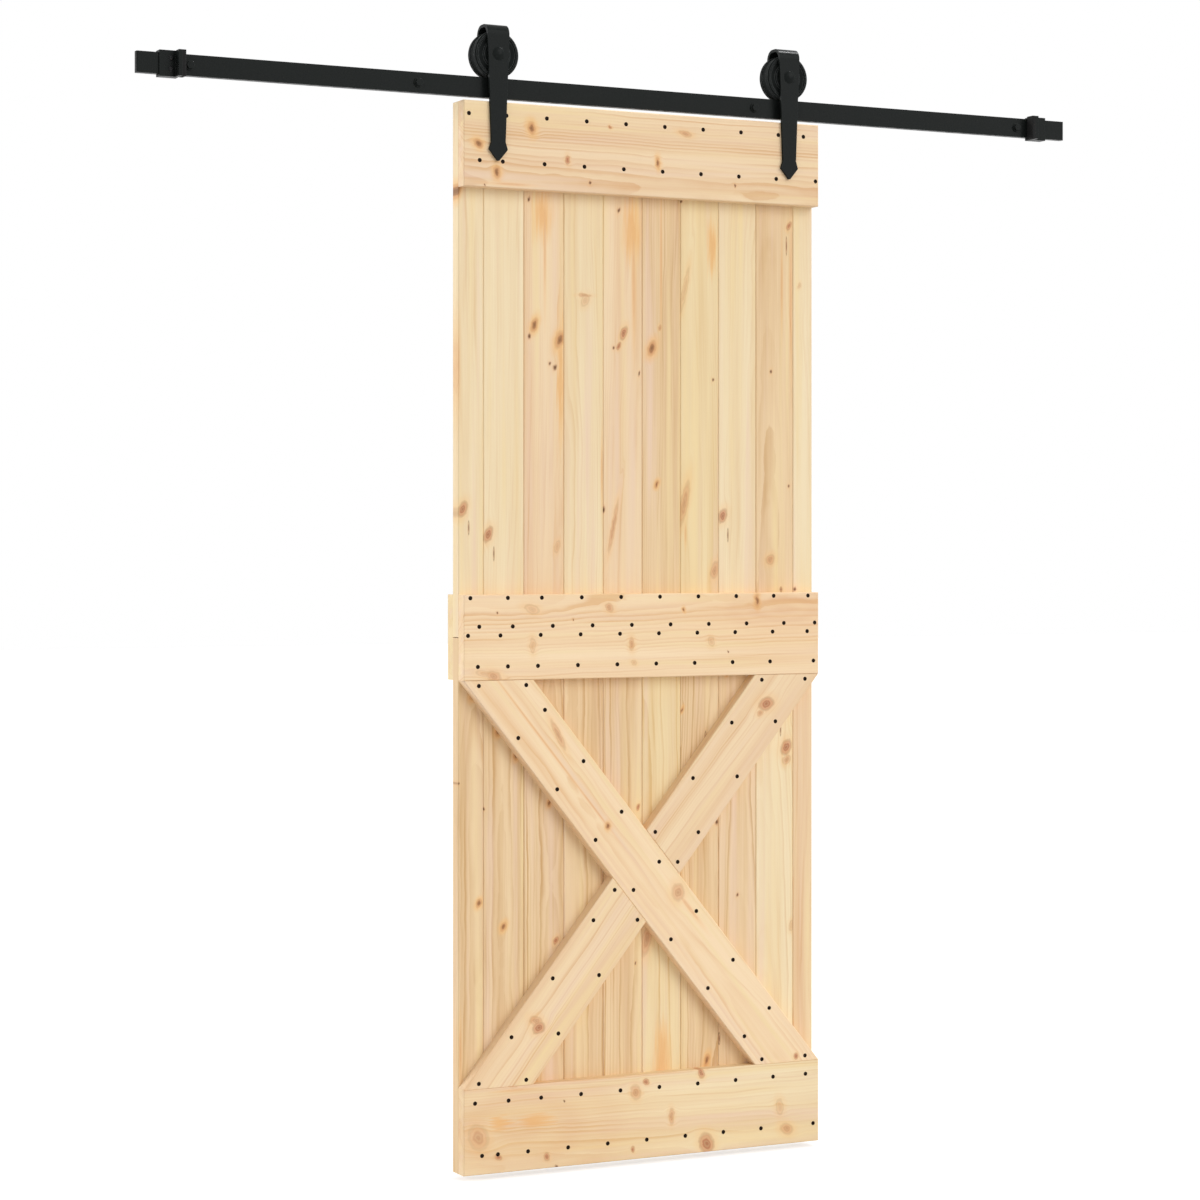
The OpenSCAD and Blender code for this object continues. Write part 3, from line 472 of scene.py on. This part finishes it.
oxide = (paint(20, 11, 5), paint(34, 20, 10), paint(44, 30, 20))
nail_steel = surface(
    "oxidised_nail_steel", *oxide, roughness=0.6, gloss=0.1, metallic=0.0, lumps=400.0, bump=0.2)
dress(nail_steel, "top_rail_nails", "middle_rail_nails", "bottom_rail_nails", "brace_nails")


# Hangers. Flat steel bar, cut to an arrow, folded over the wheel and powder coated black.
# The studs welded to its back go through the rail and planks.

# The third colour is painted along the edges, partly as worn coat and partly as a painted highlight on the
# fold and edges.
satin_black = (paint(25, 28, 27), paint(29, 32, 31), paint(54, 57, 56))
powder_coat = surface(
    "black_powder_coat", *satin_black, roughness=0.24, gloss=0.048, metallic=0.0, lumps=60.0, bump=0.2)
dress(powder_coat, "left_hanger", "right_hanger")


# Hanger fixings. Black zinc plated steel washers and hexagon nuts hold the hangers' studs behind the
# planks. The nuts are turned to a cone at both faces, and their corners are painted brighter, partly as
# plating worn to bright steel and partly as a painted highlight.

zinc_black = (paint(20, 21, 22), paint(28, 29, 30), paint(70, 70, 70))
black_zinc = surface(
    "black_zinc_plate", *zinc_black, roughness=0.4, gloss=0.15, metallic=0.0, lumps=220.0, bump=0.1)
dress(black_zinc, "hanger_washers")

hanger_nut_flats = 13 * mm
hanger_nut_bore = 8.2 * mm
nut_slope = math.radians(30)
face_share = 0.95
lying = math.radians(90)
half_side = math.radians(30)
cone_turn = math.radians(2)
weld = 0.02 * mm


def cut(piece, operation, cutter):
    """Cuts a piece with another one, which is then thrown away."""
    knife = piece.modifiers.new("cut", "BOOLEAN")
    knife.operation = operation
    knife.object = cutter
    bpy.context.view_layer.objects.active = piece
    bpy.ops.object.modifier_apply(modifier=knife.name)
    bpy.data.objects.remove(cutter, do_unlink=True)


def turn_nut(flats, corner, bore, height):
    """One hexagon nut. Two cones cut it down to a round face at the front and at the back,
    face_share as wide as its flats, and it is bored. The cones are turned a little, so that no
    edges fall together."""
    face = face_share * flats / 2
    cone_width = face + 2 * height
    cone_depth = cone_width * math.tan(nut_slope)
    tip = height / 2 + face * math.tan(nut_slope)
    bpy.ops.object.select_all(action="DESELECT")
    bpy.ops.mesh.primitive_cylinder_add(
        vertices=6, radius=corner, depth=height, rotation=(lying, half_side, 0.0))
    nut = bpy.context.object
    for side in (-1.0, 1.0):
        bpy.ops.mesh.primitive_cone_add(
            vertices=72, radius1=cone_width, depth=cone_depth,
            rotation=(-side * lying, cone_turn, 0.0),
            location=(0.0, side * (tip - cone_depth / 2), 0.0))
        cut(nut, "INTERSECT", bpy.context.object)
    bpy.ops.mesh.primitive_cylinder_add(
        vertices=48, radius=bore / 2, depth=2 * height, rotation=(lying, 0.0, 0.0))
    cut(nut, "DIFFERENCE", bpy.context.object)
    bpy.ops.object.mode_set(mode="EDIT")
    bpy.ops.mesh.select_all(action="SELECT")
    bpy.ops.mesh.remove_doubles(threshold=weld)
    bpy.ops.object.mode_set(mode="OBJECT")
    return nut


def make_nuts(name, node, flats, bore):
    """Turned nuts in the corners of the node's box, where its plain ones are."""
    low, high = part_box(node)
    corner = flats / 2 / math.cos(half_side)
    pattern = turn_nut(flats, corner, bore, high.y - low.y)
    nuts = []
    for x in (low.x + corner, high.x - corner):
        for z in sorted({round(low.z + flats / 2, 5), round(high.z - flats / 2, 5)}):
            bpy.ops.object.select_all(action="DESELECT")
            pattern.select_set(True)
            bpy.context.view_layer.objects.active = pattern
            bpy.ops.object.duplicate()
            nuts.append(bpy.context.object)
            nuts[-1].location = (x, (low.y + high.y) / 2, z)
    bpy.data.objects.remove(pattern, do_unlink=True)
    for nut in nuts:
        nut.select_set(True)
    bpy.context.view_layer.objects.active = nuts[0]
    bpy.ops.object.join()
    piece = bpy.context.object
    piece.name = name
    bpy.ops.object.transform_apply(location=True, rotation=True, scale=True)
    bpy.ops.object.shade_smooth_by_angle(angle=math.radians(20))
    piece.data.materials.clear()
    piece.data.materials.append(black_zinc)
    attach(piece, "leaf")
    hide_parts(node)


make_nuts("chamfered_hanger_nuts", "hanger_nuts", hanger_nut_flats, hanger_nut_bore)


# Axles. A domed steel bolt, powder coated black, runs through the fold and the wheel's bearing
# to a zinc plated nut behind, with a turned collar on each side of the bearing.

axle_nut_flats = 19 * mm
axle_nut_bore = 12.2 * mm
dress(powder_coat, "left_axle_bolt", "right_axle_bolt")
dress(black_zinc, "axle_collars")
make_nuts("chamfered_axle_nuts", "axle_nuts", axle_nut_flats, axle_nut_bore)


# Wheels and bearings. Each wheel is turned steel with a groove for the bar, coated black, and
# turns on a sealed ball bearing pressed into it.

# The pale third colour is painted along the rims' edges, partly as worn coat and partly as a painted
# highlight crescent.
turned_black = (paint(21, 24, 23), paint(26, 29, 28), paint(96, 98, 98))
wheel_coat = surface(
    "wheel_coat", *turned_black, roughness=0.45, gloss=0.03, metallic=0.0, lumps=80.0, bump=0.1, ease=1.2)
bare_steel = (paint(150, 152, 155), paint(176, 178, 180), paint(190, 192, 194))
ground_steel = surface(
    "ground_bearing_steel", *bare_steel, roughness=0.25, gloss=0.5, metallic=1.0, lumps=500.0, bump=0.05)
dress(wheel_coat, "left_wheel", "right_wheel")
dress(ground_steel, "left_bearing", "right_bearing")


# Track. A flat steel bar, powder coated black, stands off the wall on spacer tubes, and four
# flanged screws go through both into the wall.

dress(powder_coat, "track_bar", "wall_spacers", "wall_bolts")


# End stops. Coated steel sleeves grip the bar near its ends under two button screws each, and
# carry a rubber block for the hanger to run against.

soft_black = (paint(22, 22, 22), paint(28, 28, 28), paint(36, 36, 36))
bumper_rubber = surface(
    "bumper_rubber", *soft_black, roughness=0.75, gloss=0.2, metallic=0.0, lumps=120.0, bump=0.4)
dress(powder_coat, "left_stop", "right_stop")
dress(black_zinc, "stop_screws")
dress(bumper_rubber, "left_bumper", "right_bumper")


# Room. A pale floor lies a finger's width under the leaf, with white all round. A broad soft
# lamp stands to the front right, above the door, a second one lights its edges from behind on
# the left, a small soft box hangs over the track, and the white room fills the shadows.

floor_gap = 12 * mm
floor_size = 60.0
floor_grey = 0.68
floor_glow = 0.58
fill = 0.57
floor_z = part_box("bottom_rail")[0].z - floor_gap
scene = bpy.context.scene
bpy.ops.object.select_all(action="DESELECT")
bpy.ops.mesh.primitive_plane_add(size=floor_size, location=(0.0, 0.0, floor_z))
floor = bpy.context.object
floor.name = "floor"
bpy.ops.object.transform_apply(location=True, rotation=True, scale=True)


def seen_white(tree):
    """1 for the rays that see the room itself or its mirror image, and 0 for the light it sheds."""
    path = tree.nodes.new("ShaderNodeLightPath")
    seen = calc(tree, "MAXIMUM", path.outputs["Is Camera Ray"], path.outputs["Is Glossy Ray"])
    return calc(tree, "MAXIMUM", seen, path.outputs["Is Transmission Ray"])


floor_paint = bpy.data.materials.new("pale_floor")
floor_paint.use_nodes = True
tree = floor_paint.node_tree
shader = tree.nodes["Principled BSDF"]
shader.inputs["Base Color"].default_value = (floor_grey, floor_grey, floor_grey, 1.0)
shader.inputs["Roughness"].default_value = 0.9
shader.inputs["Specular IOR Level"].default_value = 0.0
shader.inputs["Emission Color"].default_value = (1.0, 1.0, 1.0, 1.0)
feed(tree, shader.inputs["Emission Strength"], calc(tree, "MULTIPLY", seen_white(tree), floor_glow))
floor.data.materials.append(floor_paint)

room = bpy.data.worlds.new("white_room")
room.use_nodes = True
scene.world = room
tree = room.node_tree
backdrop = tree.nodes["Background"]
backdrop.inputs["Color"].default_value = (1.0, 1.0, 1.0, 1.0)
feed(tree, backdrop.inputs["Strength"], calc(tree, "MULTIPLY_ADD", seen_white(tree), 1.0 - fill, fill))

# Heading, strength and spread in degrees of the two broad lamps
lamps = {
    "soft_key": (Vector((-0.5, 0.85, -0.45)), 1.42, 45),
    "edge_light": (Vector((0.85, -0.5, -0.2)), 1.9, 50),
}
for name, (heading, strength, spread) in lamps.items():
    bpy.ops.object.light_add(type="SUN")
    lamp = bpy.context.object
    lamp.name = name
    lamp.data.energy = strength
    lamp.data.angle = math.radians(spread)
    lamp.rotation_euler = heading.to_track_quat("-Z", "Y").to_euler()

soft_box_place = (2.3, -0.07, 1.95)
soft_box_tilt = math.radians(29)
bpy.ops.object.light_add(type="AREA", location=soft_box_place, rotation=(0.0, soft_box_tilt, 0.0))
soft_box = bpy.context.object
soft_box.name = "soft_box"
soft_box.data.energy = 30.0
soft_box.data.size = 0.4


# Camera. It stands to the left of the door at breast height, turned to the right and held level,
# so that the leaf's sides stay upright. Its long lens is shifted down a little to centre the door.

eye = (-1.7626, -5.3790, -0.9058)
level_view = math.radians(90)
turned_right = math.radians(26.275)
bpy.ops.object.camera_add(location=eye, rotation=(level_view, 0.0, -turned_right))
camera = bpy.context.object
camera.data.sensor_width = 36.0
camera.data.lens = 88.79
camera.data.shift_y = -0.0422
scene.camera = camera
scene.view_settings.view_transform = "Standard"
